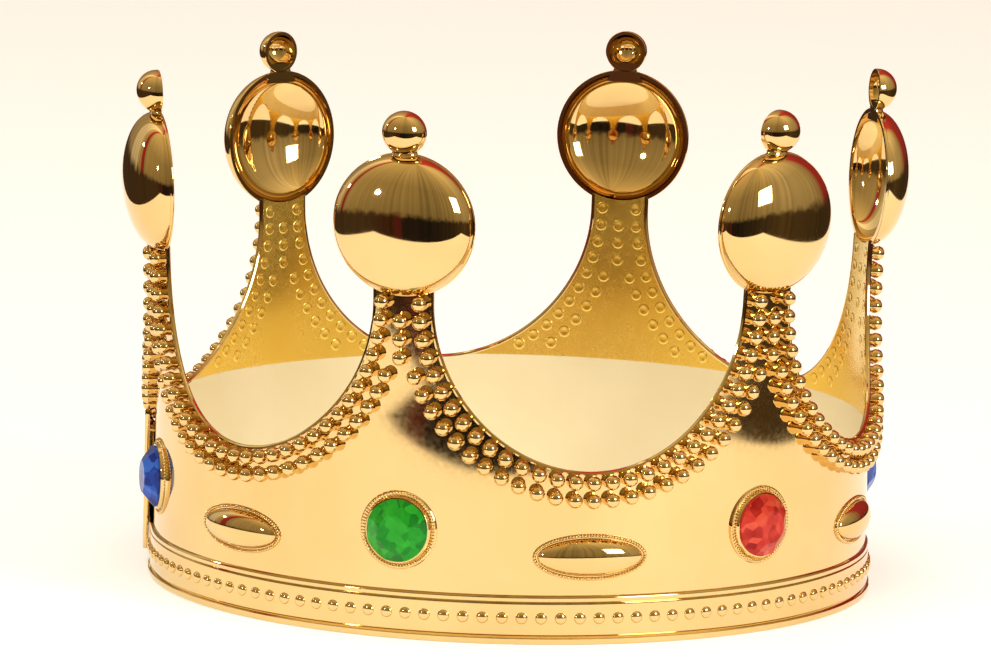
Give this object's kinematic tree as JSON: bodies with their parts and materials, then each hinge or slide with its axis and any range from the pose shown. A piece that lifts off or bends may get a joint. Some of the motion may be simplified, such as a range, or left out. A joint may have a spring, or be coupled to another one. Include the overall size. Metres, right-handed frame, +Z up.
{
  "type": "costume crown",
  "caption": "Round costume crown with domed points, beaded swags between them and a faceted gem under each point.",
  "frame": {"origin": "on the ring's axis, at the height of the bottom rim that the crown stands on", "axes": "+Z up along the ring's axis, -Y towards the front point with the green gem, +X to the wearer's left"},
  "size_m": [0.1932, 0.2048, 0.1327],
  "materials": {
    "gilded_plastic": "mirror gold metallised plastic",
    "green_gem": "foil-backed faceted acrylic, green",
    "red_gem": "foil-backed faceted acrylic, red",
    "blue_gem": "foil-backed faceted acrylic, blue"
  },
  "bodies": {
    "root": {"crown_shell": "gilded_plastic", "gem_green_front": "green_gem", "gem_red_front_right": "red_gem", "gem_blue_back_right": "blue_gem", "gem_green_back": "green_gem", "gem_red_back_left": "red_gem", "gem_blue_front_left": "blue_gem"}
  },
  "joints": []
}
